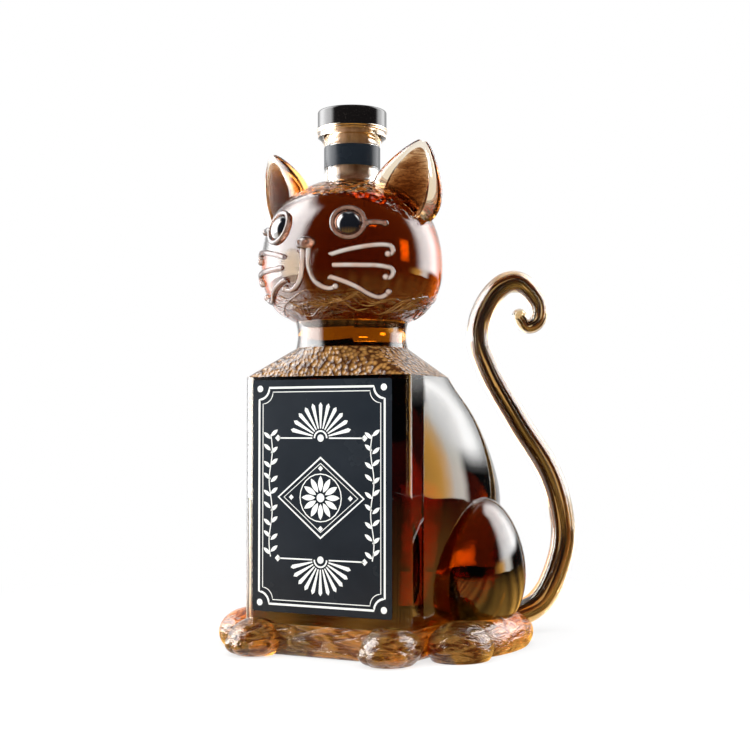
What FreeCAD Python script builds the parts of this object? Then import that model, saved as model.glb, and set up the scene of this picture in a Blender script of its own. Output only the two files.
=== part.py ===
import FreeCAD, Part
import math
import os

# Cat-shaped liquor decanter. The seated cat's square chest is a flask, and the head, haunches,
# paws, ears, tail and face are separate glass pieces fused on hot. A capped cork closes the spout.
# Millimetres. Z is up, the cat looks along -Y, and its own left side is +X.
# The origin is on the floor, below the axis that the spout, head and collar share.

# Base slab and torso.
base_thickness = 14.0
base_rounding = 2.5
torso_height = 109.0
torso_wall = 3.0
flask_half_width = 41.5
flask_front = 28.0
flask_corner_radius = 6.5
crease_setback = 17.0
rump_half_width = 50.0
rump_depth = 88.0
rump_fullness = 2.8
rump_widest_share = 0.4
# Height along the torso, half width of the rump and depth of the back.
torso_profile_shares = [
    (0.00, 0.870, 0.860),
    (0.16, 0.930, 0.930),
    (0.34, 0.985, 0.985),
    (0.50, 1.000, 1.000),
    (0.64, 0.980, 0.910),
    (0.76, 0.945, 0.785),
    (0.88, 0.890, 0.610),
    (1.00, 0.800, 0.420),
]
rear_steps = 6

# Shoulder and collar.
shoulder_height = 13.0
collar_radius = 25.5
collar_height = 12.0
collar_waist_depth = 0.9
collar_wall = 3.5
# Angles from the front, round the collar, where the shoulder's corner, side and rear begin.
collar_corner_angle = 42.0
collar_side_angle = 56.0
collar_rear_angle = 74.0

# Head and spout.
head_radius = 41.2
head_crown_height = 41.0
head_chin_height = 29.0
head_fullness = 2.3
head_wall = 2.6
neck_radius = 12.6
neck_height = 22.6
bore_radius = 9.2
lip_radius = 15.6
lip_edge_height = 2.2
flare_height = 4.0
flare_hollow_share = 0.3
profile_steps = 14

# Ears, each set on the head at an angle from straight ahead and at a share of its crown's height.
ear_angle = 78.0
ear_height_share = 0.66
ear_sink = 6.0
ear_lean = 20.0
ear_twist = 20.0
ear_length = 33.5
ear_half_width = 16.0
ear_half_thickness = 6.0
# Place along the ear, then half width and half thickness there.
ear_section_shares = [
    (0.00, 0.86, 1.00),
    (0.20, 1.00, 1.00),
    (0.45, 0.90, 0.86),
    (0.70, 0.62, 0.66),
    (0.88, 0.35, 0.44),
    (0.98, 0.14, 0.22),
]
ear_inlay_share = 0.60
ear_inlay_forward_share = 0.55
ear_inlay_recess = 0.8

# Face, drawn in glass threads. Routes are an angle from straight ahead and a share of the height from
# the head's widest level up to its crown or, below zero, down to its chin.
thread_radius = 1.2
thread_lift_share = 0.35
thread_bead_share = 1.3
eye_angle = 26.5
eye_height_share = 0.39
eye_ring_radius = 7.0
eye_ring_wire_radius = 1.1
eye_gap = 0.25
eye_bead_height = 2.9
nose_half_width = 4.8
nose_half_height = 3.1
nose_half_depth = 3.2
nose_height_share = 0.18
nostril_radius = 1.2
nostril_spread_share = 0.45
muzzle_angle = 10.5
muzzle_height_share = -0.07
muzzle_half_width = 5.6
muzzle_half_height = 7.6
muzzle_half_depth = 3.4
mouth_route_shares = [(2.4, 0.18), (2.0, 0.04), (2.7, -0.13), (6.0, -0.31), (12.5, -0.41), (18.5, -0.39)]
whisker_route_shares = {
    "upper": [(15.0, 0.04), (31.0, 0.115), (48.0, 0.155), (53.5, 0.12), (50.5, 0.06)],
    "middle": [(15.5, -0.09), (31.0, -0.09), (48.0, -0.10), (54.0, -0.17), (49.5, -0.25)],
    "lower": [(15.0, -0.25), (29.0, -0.37), (43.0, -0.52), (49.0, -0.53), (53.0, -0.46)],
}
eye_corner_route_shares = [(38.0, 0.38), (44.0, 0.395), (50.0, 0.385)]

# Haunches: blown eggs, sunk into the rump's sides.
haunch_sink = 0.5
haunch_from_back = 54.0
haunch_up = 37.5
haunch_half_width = 17.5
haunch_half_length = 28.5
haunch_half_height = 31.0
haunch_wall = 2.4
haunch_taper_share = 0.14

# Paws. The front pair sits at the flask's front corners, the hind pair under the haunches.
front_paw_inset = 8.0
front_paw_behind = 2.0
front_paw_up = 6.5
front_paw_half_width = 12.5
front_paw_half_length = 15.5
front_paw_half_height = 9.5
toe_angles = (-42.0, 0.0, 42.0)
toe_reach_share = 0.60
toe_size_share = 0.50
hind_paw_outset = 4.0
hind_paw_half_width = 14.0
hind_paw_up = 5.5
hind_toe_behind = 28.0
hind_toe_half_length = 17.0
hind_toe_half_height = 11.0
hind_heel_from_back = 54.0
hind_heel_half_length = 36.0
hind_heel_half_height = 11.5

# Tail, in an upright plane that leaves the rump at an angle.
tail_root_out = 20.0
tail_root_from_back = 18.0
tail_plane_angle = 40.0
tail_reach = 55.0
tail_height = 173.0
tail_root_radius = 6.4
tail_top_radius = 5.4
tail_tip_radius = 3.0
tail_core_share = 0.66
tail_tip_bead_share = 1.2
# Reach and height of points on the centre line, from the root up to the top of the curl.
tail_rise_shares = [
    (0.00, 0.047),
    (0.50, 0.046),
    (0.78, 0.090),
    (0.96, 0.205),
    (0.99, 0.310),
    (0.87, 0.450),
    (0.56, 0.605),
    (0.30, 0.745),
    (0.20, 0.850),
    (0.32, 0.955),
    (0.55, 1.000),
]
# The same, from the top of the curl to its end.
tail_curl_shares = [
    (0.55, 1.000),
    (0.75, 0.950),
    (0.77, 0.895),
    (0.67, 0.872),
    (0.59, 0.902),
]

# Label and neck band.
label_width = 70.0
label_height = 102.5
label_thickness = 0.25
label_corner_radius = 1.2
label_above_base = 5.0
band_height = 9.5
band_thickness = 0.25
band_below_flare = 0.6

# Stopper.
trim_radius = 16.1
trim_height = 2.0
cap_radius = 15.8
cap_height = 8.2
cap_rounding = 1.2
cork_length = 20.0
cork_clearance = 0.1
cork_rounding = 1.0
dowel_radius = 3.0
dowel_in_cap = 5.0
dowel_in_cork = 12.0

overrun = 5.0
straight_limit = 0.0001

# Heights and places that follow from the sizes above.
torso_top = base_thickness + torso_height
shoulder_top = torso_top + shoulder_height
collar_top = shoulder_top + collar_height
collar_bore = collar_radius - collar_wall


def head_rise(radius, full_height):
    """How far above or below the head's widest level its outside has a radius."""
    return full_height * (1 - (radius / head_radius) ** head_fullness) ** (1 / head_fullness)


head_centre = collar_top + head_rise(collar_radius, head_chin_height)
head_top = head_centre + head_rise(neck_radius, head_crown_height)
lip_top = head_top + neck_height
cap_bottom = lip_top + trim_height
cork_radius = bore_radius - cork_clearance

origin = FreeCAD.Vector(0, 0, 0)
across = FreeCAD.Vector(1, 0, 0)
up = FreeCAD.Vector(0, 0, 1)


def spot(x, y, z):
    return FreeCAD.Vector(x, y, z)


def line(start, end):
    return Part.LineSegment(start, end).toShape()


def arc(start, middle, end):
    return Part.Arc(start, middle, end).toShape()


def spline(points):
    curve = Part.BSplineCurve()
    curve.interpolate(points)
    return curve.toShape()


def turned(edges):
    """A solid of revolution about the Z axis from the edges of a closed profile."""
    return Part.Face(Part.Wire(edges)).revolve(origin, up, 360)


def polyline(points):
    return [line(a, b) for a, b in zip(points, points[1:])]


def cylinder(radius, bottom, top):
    return Part.makeCylinder(radius, top - bottom, spot(0, 0, bottom))


def stretched(unit_shape, centre, half_x, half_y, half_z):
    """A unit shape scaled to half sizes along the axes and moved to a centre."""
    scaling = FreeCAD.Matrix()
    scaling.scale(half_x, half_y, half_z)
    shape = unit_shape.transformGeometry(scaling)
    shape.translate(centre)
    return shape


def ellipsoid(centre, half_x, half_y, half_z):
    return stretched(Part.makeSphere(1), centre, half_x, half_y, half_z)


def egg(centre, half_x, half_y, half_z):
    """An ellipsoid that is slimmer towards its top."""
    points = []
    for step in range(profile_steps + 1):
        turn = step / profile_steps * math.pi
        radius = math.sin(turn) * (1 - haunch_taper_share * math.cos(turn))
        points.append(spot(radius, 0, math.cos(turn)))
    unit_egg = turned([spline(points), line(points[-1], points[0])])
    return stretched(unit_egg, centre, half_x, half_y, half_z)


def above_floor(shape):
    box = shape.BoundBox
    depth = abs(box.ZMin) + overrun
    corner = spot(box.XMin - overrun, box.YMin - overrun, -depth)
    floor = Part.makeBox(box.XLength + 2 * overrun, box.YLength + 2 * overrun, depth, corner)
    return shape.cut(floor)


def fused(shapes):
    return shapes[0].fuse(shapes[1:]).removeSplitter()


def largest_solid(shape):
    return max(shape.Solids, key=lambda solid: solid.Volume)


def torso_section(height_share, width_share, depth_share, inset):
    """A level outline of the torso: flat front, small corners, a crease, then the full rump."""
    z = base_thickness + torso_height * height_share
    half = flask_half_width - inset
    front = inset - flask_front
    radius = flask_corner_radius - inset
    crease = crease_setback - flask_front
    back = rump_depth * depth_share - inset
    rump = rump_half_width * width_share - inset
    widest = crease + (back - crease) * rump_widest_share
    rear = []
    for step in range(rear_steps):
        share = step / rear_steps
        x = half + (rump - half) * math.sin(share * math.pi / 2)
        rear.append((x, crease + (widest - crease) * share))
    for step in range(rear_steps):
        turn = step / rear_steps * math.pi / 2
        x = rump * math.cos(turn) ** (2 / rump_fullness)
        y = widest + (back - widest) * math.sin(turn) ** (2 / rump_fullness)
        rear.append((x, y))
    points = [spot(x, y, z) for x, y in rear]
    points.append(spot(0, back, z))
    points += [spot(-x, y, z) for x, y in reversed(rear)]
    flat = half - radius
    slant = radius * math.sqrt(0.5)
    left_flat = spot(flat, front, z)
    left_corner = spot(flat + slant, front + radius - slant, z)
    left_side = spot(half, front + radius, z)
    right_flat = spot(-flat, front, z)
    right_corner = spot(-flat - slant, front + radius - slant, z)
    right_side = spot(-half, front + radius, z)
    edges = [
        line(right_flat, left_flat),
        arc(left_flat, left_corner, left_side),
        line(left_side, points[0]),
        spline(points),
        line(points[-1], right_side),
        arc(right_side, right_corner, right_flat),
    ]
    return Part.Wire(edges)


def collar_section(radius, z):
    """A circle cut into six arcs that match the edges of a torso section."""

    def at(angle):
        turn = math.radians(angle)
        return spot(radius * math.sin(turn), -radius * math.cos(turn), z)

    starts = [-collar_corner_angle, collar_corner_angle, collar_side_angle, collar_rear_angle]
    ends = [360 - collar_rear_angle, 360 - collar_side_angle, 360 - collar_corner_angle]
    angles = starts + ends
    return Part.Wire([arc(at(a), at((a + b) / 2), at(b)) for a, b in zip(angles, angles[1:])])


def torso_solid(inset):
    return Part.makeLoft([torso_section(*row, inset) for row in torso_profile_shares], True)


def shoulder_solid(inset, top_radius):
    bottom = torso_section(*torso_profile_shares[-1], inset)
    return Part.makeLoft([bottom, collar_section(top_radius, shoulder_top)], True, True)


def slab_block():
    outline = torso_section(*torso_profile_shares[0], 0)
    return Part.Face(outline).extrude(spot(0, 0, -base_thickness))


def make_base_slab():
    bottom_edges = [edge for edge in base_block.Edges if edge.BoundBox.ZMax < base_rounding]
    return base_block.makeFillet(base_rounding, bottom_edges)


def make_torso_shell():
    openings = [torso_solid(torso_wall), haunch_inner, haunch_inner.mirror(origin, across)]
    return largest_solid(torso_outer.cut(openings))


def make_shoulder_cape():
    return shoulder_solid(0, collar_radius).cut(shoulder_solid(torso_wall, collar_bore))


def make_collar_ring():
    low = spot(collar_radius, 0, shoulder_top)
    waist = spot(collar_radius - collar_waist_depth, 0, (shoulder_top + collar_top) / 2)
    high = spot(collar_radius, 0, collar_top)
    inner = [high, spot(collar_bore, 0, collar_top), spot(collar_bore, 0, shoulder_top), low]
    return turned([arc(low, waist, high)] + polyline(inner))


def head_solid(inset, low_radius, high_radius):
    """The head's round form, from one radius at the collar to another at the neck, seam at the back."""
    power = head_fullness / 2
    radius = head_radius - inset
    low_turn = math.pi - math.asin((low_radius / radius) ** power)
    high_turn = math.asin((high_radius / radius) ** power)
    points = []
    for step in range(profile_steps + 1):
        turn = low_turn + (high_turn - low_turn) * step / profile_steps
        height = head_crown_height if math.cos(turn) > 0 else head_chin_height
        rise = (height - inset) * abs(math.cos(turn)) ** (1 / power)
        r = radius * math.sin(turn) ** (1 / power)
        points.append(spot(0, r, head_centre + math.copysign(rise, math.cos(turn))))
    low = spot(0, 0, points[0].z)
    high = spot(0, 0, points[-1].z)
    return turned([line(low, points[0]), spline(points), line(points[-1], high), line(high, low)])


def make_head_bulb():
    cavity = head_solid(head_wall, collar_bore, bore_radius)
    throat = cylinder(bore_radius, head_centre, head_top + overrun)
    gullet = cylinder(collar_bore, collar_top - overrun, head_centre)
    return head_outer.cut([cavity, throat, gullet])


def make_neck_spout():
    edge = lip_top - lip_edge_height
    flare = edge - flare_height
    flare_start = spot(neck_radius, 0, flare)
    flare_end = spot(lip_radius, 0, edge)
    hollow = neck_radius + (lip_radius - neck_radius) * flare_hollow_share
    flare_middle = spot(hollow, 0, (flare + edge) / 2)
    lip = spot(lip_radius, 0, lip_top)
    inner_high = spot(bore_radius, 0, lip_top)
    inner_low = spot(bore_radius, 0, head_top)
    low = spot(neck_radius, 0, head_top)
    rest = polyline([flare_end, lip, inner_high, inner_low, low, flare_start])
    return turned([arc(flare_start, flare_middle, flare_end)] + rest)


def make_neck_band():
    top = lip_top - lip_edge_height - flare_height - band_below_flare
    bottom = top - band_height
    return cylinder(neck_radius + band_thickness, bottom, top).cut(cylinder(neck_radius, bottom, top))


def on_head(angle, height_share):
    """A point of the head's outside and its outward normal."""
    turn = math.radians(angle)
    level_share = (1 - abs(height_share) ** head_fullness) ** (1 / head_fullness)
    radius = head_radius * level_share
    full_height = head_crown_height if height_share > 0 else head_chin_height
    z = head_centre + full_height * height_share
    power = head_fullness - 1
    outward = level_share**power / head_radius
    upward = math.copysign(abs(height_share) ** power / full_height, height_share)
    normal = spot(outward * math.sin(turn), -outward * math.cos(turn), upward).normalize()
    return spot(radius * math.sin(turn), -radius * math.cos(turn), z), normal


def arc_from(start, way, end):
    """The edge that leaves start along way and reaches end, and the way it is going there."""
    chord = end - start
    along = FreeCAD.Vector(chord).normalize()
    ahead = way.dot(along)
    side = way - along * ahead
    arrival = along * (2 * ahead) - way
    if side.Length < straight_limit:
        return line(start, end), arrival
    sagitta = chord.Length / 2 * math.tan(math.atan2(side.Length, ahead) / 2)
    return arc(start, (start + end) * 0.5 + side.normalize() * sagitta, end), arrival


def smooth_path(points, first_way=None, last_way=None):
    """A wire of tangent arcs, two to each stretch, through the points."""
    inner_ways = [(points[i + 1] - points[i - 1]).normalize() for i in range(1, len(points) - 1)]
    first = (points[1] - points[0]).normalize()
    last = (points[-1] - points[-2]).normalize()
    start_way = first_way or first * (2 * first.dot(inner_ways[0])) - inner_ways[0]
    end_way = last_way or last * (2 * last.dot(inner_ways[-1])) - inner_ways[-1]
    ways = [start_way] + inner_ways + [end_way]
    edges = []
    for i in range(len(points) - 1):
        gap = points[i + 1] - points[i]
        pull = gap.dot(ways[i] + ways[i + 1])
        spread = 2 * (1 - ways[i].dot(ways[i + 1]))
        reach = gap.dot(gap) / (2 * pull)
        if spread > straight_limit:
            reach = (math.sqrt(pull * pull + spread * gap.dot(gap)) - pull) / spread
        middle = (points[i] + ways[i] * reach + points[i + 1] - ways[i + 1] * reach) * 0.5
        edge, way = arc_from(points[i], ways[i], middle)
        edges.append(edge)
        edges.append(arc_from(middle, way, points[i + 1])[0])
    return Part.Wire(edges)


def swept(path, start_radius, end_radius):
    """A round rod along a path, tapering evenly, with its seam on the side towards the Z axis."""
    shell = Part.BRepOffsetAPI.MakePipeShell(path)
    ends = [(path.Edges[0], 0, start_radius), (path.Edges[-1], 1, end_radius)]
    for edge, which, radius in ends:
        parameter = edge.ParameterRange[which]
        centre = edge.valueAt(parameter)
        along = edge.tangentAt(parameter)
        inward = spot(-centre.x, -centre.y, 0)
        circle = Part.Circle(centre, along, radius)
        circle.XAxis = (inward - along * inward.dot(along)).normalize()
        shell.add(Part.Wire(circle.toShape()))
    shell.build()
    shell.makeSolid()
    return shell.shape()


def make_thread(route):
    """A glass thread laid on the head, with a bead at each end."""
    points = []
    normals = []
    for angle, height_share in route:
        point, normal = on_head(angle, height_share)
        points.append(point + normal * (thread_radius * thread_lift_share))
        normals.append(normal)
    rod = swept(smooth_path(points), thread_radius, thread_radius)
    bead_radius = thread_radius * thread_bead_share
    beads = [Part.makeSphere(bead_radius, points[end], normals[end]) for end in (0, -1)]
    return largest_solid(rod.fuse(beads).cut(head_outer))


def make_eye_ring():
    centre, normal = on_head(eye_angle, eye_height_share)
    ring = Part.makeTorus(eye_ring_radius, eye_ring_wire_radius, centre, normal)
    return largest_solid(ring.cut(head_outer))


def make_eye_bead():
    centre, normal = on_head(eye_angle, eye_height_share)
    base = eye_ring_radius - eye_ring_wire_radius - eye_gap
    radius = (base * base + eye_bead_height * eye_bead_height) / (2 * eye_bead_height)
    ball = Part.makeSphere(radius, centre + normal * (eye_bead_height - radius))
    return largest_solid(ball.cut(head_outer))


def make_nose():
    """A gob of glass with two nostrils."""
    centre, normal = on_head(0, nose_height_share)
    gob = ellipsoid(centre, nose_half_width, nose_half_depth, nose_half_height)
    nostrils = []
    for side in (-1, 1):
        shift = across * (side * nose_half_width * nostril_spread_share)
        nostrils.append(Part.makeSphere(nostril_radius, centre + shift + normal * nose_half_depth))
    return largest_solid(gob.cut(nostrils).cut(head_outer))


def make_muzzle_pad(neighbours):
    """A puffed pad beside the nose, with its neighbours pressed into it."""
    centre = on_head(muzzle_angle, muzzle_height_share)[0]
    pad = ellipsoid(origin, muzzle_half_width, muzzle_half_depth, muzzle_half_height)
    pad.rotate(origin, up, muzzle_angle)
    pad.translate(centre)
    return largest_solid(pad.cut([head_outer] + neighbours))


def ear_solid(width_factor, thickness_factor):
    """An ear in its own frame: width along X, front towards -Y, tip along Z."""
    wires = []
    for place, width, thickness in ear_section_shares:
        half_width = ear_half_width * width * width_factor
        half_thickness = ear_half_thickness * thickness * thickness_factor
        ellipse = Part.Ellipse(origin, half_width, half_thickness).toShape()
        ellipse.translate(spot(0, 0, ear_length * place))
        wires.append(Part.Wire(ellipse))
    return Part.makeLoft(wires, True)


def make_ear():
    """The clear ear and the amber inlay in its hollow front."""
    body = ear_solid(1, 1)
    tool = ear_solid(ear_inlay_share, ear_inlay_share)
    tool.translate(spot(0, -ear_half_thickness * ear_inlay_forward_share, 0))
    sunk_body = body.copy()
    sunk_body.translate(spot(0, ear_inlay_recess, 0))
    point, normal = on_head(ear_angle, ear_height_share)
    pieces = []
    for piece in (body.cut(tool), tool.common(sunk_body)):
        piece.rotate(origin, up, ear_twist)
        piece.rotate(origin, spot(0, 1, 0), ear_lean)
        piece.translate(point - normal * ear_sink)
        pieces.append(largest_solid(piece.cut(head_outer)))
    return pieces


def make_haunch():
    return largest_solid(haunch_outer.cut([haunch_inner, torso_outer, base_block]))


def make_front_paw():
    centre = spot(flask_half_width - front_paw_inset, front_paw_behind - flask_front, front_paw_up)
    halves = (front_paw_half_width, front_paw_half_length, front_paw_half_height)
    lobes = [ellipsoid(centre, *halves)]
    for angle in toe_angles:
        turn = math.radians(angle)
        reach_x = math.sin(turn) * front_paw_half_width * toe_reach_share
        reach_y = -math.cos(turn) * front_paw_half_length * toe_reach_share
        toe = [half * toe_size_share for half in halves]
        drop = front_paw_up - toe[2]
        lobes.append(ellipsoid(centre + spot(reach_x, reach_y, -drop), *toe))
    return largest_solid(above_floor(fused(lobes)).cut([torso_outer, base_block]))


def make_hind_paw():
    out = rump_half_width + hind_paw_outset
    toe_centre = spot(out, hind_toe_behind - flask_front, hind_paw_up)
    heel_centre = spot(out, rump_depth - hind_heel_from_back, hind_paw_up)
    toe = ellipsoid(toe_centre, hind_paw_half_width, hind_toe_half_length, hind_toe_half_height)
    heel = ellipsoid(heel_centre, hind_paw_half_width, hind_heel_half_length, hind_heel_half_height)
    paw = above_floor(fused([toe, heel]))
    return largest_solid(paw.cut([torso_outer, base_block, haunch_outer]))


def tail_points(shares):
    turn = math.radians(tail_plane_angle)
    points = []
    for reach_share, height_share in shares:
        reach = tail_reach * reach_share
        x = tail_root_out + reach * math.cos(turn)
        y = rump_depth - tail_root_from_back + reach * math.sin(turn)
        points.append(spot(x, y, tail_height * height_share))
    return points


def tail_rod(share):
    """The tail at a share of its thickness: a rising stretch and a curl with a bead at its end."""
    rise = tail_points(tail_rise_shares)
    curl = tail_points(tail_curl_shares)
    over = (curl[1] - rise[-2]).normalize()
    lower = swept(smooth_path(rise, None, over), tail_root_radius * share, tail_top_radius * share)
    upper = swept(smooth_path(curl, over), tail_top_radius * share, tail_tip_radius * share)
    bead = Part.makeSphere(tail_tip_radius * tail_tip_bead_share * share, curl[-1])
    return fused([lower, upper, bead])


def make_tail():
    """The clear casing and the amber cane inside it."""
    core = tail_rod(tail_core_share)
    body = [torso_outer, base_block, haunch_outer]
    casing = tail_rod(1).cut([core] + body)
    return [largest_solid(casing), largest_solid(core.cut(body))]


def make_front_label():
    corner = spot(-label_width / 2, -flask_front - label_thickness, base_thickness + label_above_base)
    plate = Part.makeBox(label_width, label_thickness, label_height, corner)
    edges = [edge for edge in plate.Edges if abs(edge.Length - label_thickness) < straight_limit]
    return plate.makeFillet(label_corner_radius, edges)


def make_stopper():
    """Cap, trim ring, cork and the dowel that joins cap and cork."""
    cap_top = cap_bottom + cap_height
    cork_end = lip_top - cork_length
    dowel = cylinder(dowel_radius, cap_bottom - dowel_in_cork, cap_bottom + dowel_in_cap)
    cap = cylinder(cap_radius, cap_bottom, cap_top)
    cap = cap.makeFillet(cap_rounding, [edge for edge in cap.Edges if edge.BoundBox.ZMin > cap_bottom])
    cork = cylinder(cork_radius, cork_end, cap_bottom)
    cork = cork.makeFillet(cork_rounding, [edge for edge in cork.Edges if edge.BoundBox.ZMax < lip_top])
    ring = cylinder(trim_radius, lip_top, cap_bottom)
    ring_bore = cylinder(bore_radius, lip_top, cap_bottom)
    return {
        "stopper_cap": cap.cut(dowel),
        "trim_ring": ring.cut(ring_bore),
        "cork_shank": cork.cut(dowel),
        "cap_dowel": dowel,
    }


torso_outer = torso_solid(0)
base_block = slab_block()
head_outer = head_solid(0, collar_radius, neck_radius)
haunch_centre = spot(rump_half_width - haunch_sink, rump_depth - haunch_from_back, haunch_up)
haunch_halves = (haunch_half_width, haunch_half_length, haunch_half_height)
haunch_outer = egg(haunch_centre, *haunch_halves)
haunch_inner = egg(haunch_centre, *[half - haunch_wall for half in haunch_halves])

pieces = {
    "base_slab": make_base_slab(),
    "torso_shell": make_torso_shell(),
    "shoulder_cape": make_shoulder_cape(),
    "collar_ring": make_collar_ring(),
    "head_bulb": make_head_bulb(),
    "neck_spout": make_neck_spout(),
    "neck_band": make_neck_band(),
    "nose": make_nose(),
    "front_label": make_front_label(),
}
pieces.update(make_stopper())
pieces["tail_casing"], pieces["tail_core"] = make_tail()

ear, ear_inlay = make_ear()
left_pieces = {
    "ear": ear,
    "ear_inlay": ear_inlay,
    "eye_ring": make_eye_ring(),
    "eye_bead": make_eye_bead(),
    "eye_corner": make_thread(eye_corner_route_shares).cut(make_eye_ring()),
    "mouth_thread": make_thread(mouth_route_shares).cut(pieces["nose"]),
    "haunch": make_haunch(),
    "front_paw": make_front_paw(),
    "hind_paw": make_hind_paw(),
}
muzzle_pad = make_muzzle_pad([pieces["nose"], left_pieces["mouth_thread"]])
left_pieces["muzzle_pad"] = muzzle_pad
for place, route in whisker_route_shares.items():
    left_pieces["whisker_" + place] = largest_solid(make_thread(route).cut(muzzle_pad))
for name, shape in left_pieces.items():
    pieces["left_" + name] = shape
    pieces["right_" + name] = shape.mirror(origin, across)

os.makedirs("parts", exist_ok=True)
for name, shape in pieces.items():
    shape.exportStep("parts/" + name + ".step")
    print(name, len(shape.Solids), "solid", round(shape.Volume), "mm3", shape.isValid())
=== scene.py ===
# %% [markdown]
# # A seated glass cat that pours
# This lesson dresses a decanter that is shaped like a sitting cat. Its solids come from a CAD model and are
# already in place, so the work here is glass, liquor, print, lacquer and light. Every shape is given in
# millimetres and turned into Blender's metres in one place, which keeps the numbers easy to read.

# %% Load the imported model
import math

import bpy
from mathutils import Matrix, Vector


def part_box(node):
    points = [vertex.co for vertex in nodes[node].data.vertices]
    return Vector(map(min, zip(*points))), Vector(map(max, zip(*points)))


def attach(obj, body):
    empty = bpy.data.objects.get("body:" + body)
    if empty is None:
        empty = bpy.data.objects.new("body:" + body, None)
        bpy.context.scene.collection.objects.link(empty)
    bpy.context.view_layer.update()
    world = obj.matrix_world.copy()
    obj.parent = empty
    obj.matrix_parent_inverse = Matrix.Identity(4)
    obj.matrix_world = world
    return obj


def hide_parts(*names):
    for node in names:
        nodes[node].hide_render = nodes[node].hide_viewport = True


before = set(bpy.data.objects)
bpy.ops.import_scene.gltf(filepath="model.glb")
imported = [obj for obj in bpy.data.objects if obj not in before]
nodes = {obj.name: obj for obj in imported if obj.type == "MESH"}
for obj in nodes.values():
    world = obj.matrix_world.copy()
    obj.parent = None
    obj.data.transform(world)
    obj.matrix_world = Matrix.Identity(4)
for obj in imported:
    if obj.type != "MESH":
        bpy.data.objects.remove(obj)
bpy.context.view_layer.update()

MM = 0.001
UP = Vector((0, 0, 1))
scene = bpy.context.scene
scene.view_settings.view_transform = "Standard"
print("nodes in the frame:", len(nodes))

# %% [markdown]
# ## The camera
# The picture was taken level with the cat's chest, from a little to its left. A camera can be turned until
# the picture looks right, or it can be worked out from points whose places are known. Here the turn, distance
# and focal length were fitted to the outline, and the camera is aimed at the picture's middle without lens
# shift.

# %% Camera
view_turn = math.radians(29)
camera_distance = 640
camera_height = 99.3
focal_pixels = 1408
picture_pixels = 750
sensor_width = 36
aim_right = 10.45
aim_up = 25.0

towards_camera = Vector((math.sin(view_turn), -math.cos(view_turn), 0))
picture_right = Vector((math.cos(view_turn), math.sin(view_turn), 0))
camera_place = towards_camera * camera_distance + UP * camera_height
aim = picture_right * aim_right + UP * (camera_height + aim_up)
camera_data = bpy.data.cameras.new("photo_camera")
camera_data.sensor_width = sensor_width
camera_data.lens = sensor_width * focal_pixels / picture_pixels
camera = bpy.data.objects.new("photo_camera", camera_data)
camera.location = camera_place * MM
camera.rotation_euler = (aim - camera_place).to_track_quat("-Z", "Y").to_euler()
scene.collection.objects.link(camera)
scene.camera = camera
print("lens:", round(camera_data.lens, 1), "mm")

# %% [markdown]
# ## Helpers
# Every look is a tree of nodes, and every new node needs the same three steps: add it, set its numbers and
# link its sockets. One helper does all three, so a look below reads like a recipe. Another one turns corners
# and faces into a mesh object, and is the only place where millimetres become metres for shapes.

# %% Node and mesh helpers


def give(tree, socket, value):
    """Links a socket to another one, or sets it to a plain value."""
    if isinstance(value, bpy.types.NodeSocket):
        tree.links.new(value, socket)
    else:
        socket.default_value = value


def set_inputs(tree, node, **inputs):
    """Sets or links a node's inputs by name. An underscore stands for a space."""
    for label, value in inputs.items():
        give(tree, node.inputs[label.replace("_", " ")], value)


def add_node(tree, kind, **inputs):
    node = tree.nodes.new("ShaderNode" + kind)
    set_inputs(tree, node, **inputs)
    return node


def add_math(tree, operation, *values):
    """A calculation with sockets or plain numbers."""
    node = add_node(tree, "Math")
    node.operation = operation
    for socket, value in zip(node.inputs, values):
        give(tree, socket, value)
    return node.outputs[0]


def mix_shaders(tree, share, first, second):
    mix = add_node(tree, "MixShader", Fac=share)
    tree.links.new(first.outputs[0], mix.inputs[1])
    tree.links.new(second.outputs[0], mix.inputs[2])
    return mix.outputs[0]


def empty_tree(owner):
    """The node tree of a world or a material, with nothing in it."""
    owner.use_nodes = True
    owner.node_tree.nodes.clear()
    return owner.node_tree


def link_mesh(name, corners, faces):
    """A mesh object from corners in millimetres."""
    mesh = bpy.data.meshes.new(name)
    mesh.from_pydata([Vector(corner) * MM for corner in corners], [], faces)
    mesh.validate()
    piece = bpy.data.objects.new(name, mesh)
    scene.collection.objects.link(piece)
    return piece


def circle_points(radius, z, steps):
    turns = [2 * math.pi * step / steps for step in range(steps)]
    return [(radius * math.cos(turn), radius * math.sin(turn), z) for turn in turns]


print("helpers ready")

# %% [markdown]
# ## The studio
# Glass has hardly any colour of its own: it shows what stands around it. The set is white behind the cat, and
# dark on the camera's side with a tall soft light at the left, so every round form gets a bright left edge, a
# dark middle and a bright right edge. The world is white wherever the camera, a reflection or a view through
# glass meets it, and softer where it lights plain surfaces.

# %% World
ambient_level = 0.62
plain_white = (1, 1, 1, 1)

world = bpy.data.worlds.new("white_studio")
scene.world = world
tree = empty_tree(world)
ray = add_node(tree, "LightPath").outputs
by_glass = add_math(tree, "MAXIMUM", ray["Is Glossy Ray"], ray["Is Transmission Ray"])
seen = add_math(tree, "MAXIMUM", ray["Is Camera Ray"], by_glass)
soft = add_node(tree, "Background", Color=plain_white, Strength=ambient_level)
white = add_node(tree, "Background", Color=plain_white)
add_node(tree, "OutputWorld", Surface=mix_shaders(tree, seen, soft, white))
print("world set")

# %% [markdown]
# The floor is a wide disc. Most of its white is its own glow, so that it meets the world without a line, and
# the rest is a plain matt surface, which keeps the cat's soft shadow.

# %% Floor
floor_radius = 4000
floor_steps = 96
floor_drop = 0.15
floor_matt_colour = (0.9, 0.9, 0.9, 1)
floor_matt_share = 0.3
shadow_full = 90
shadow_end = 330

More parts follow.
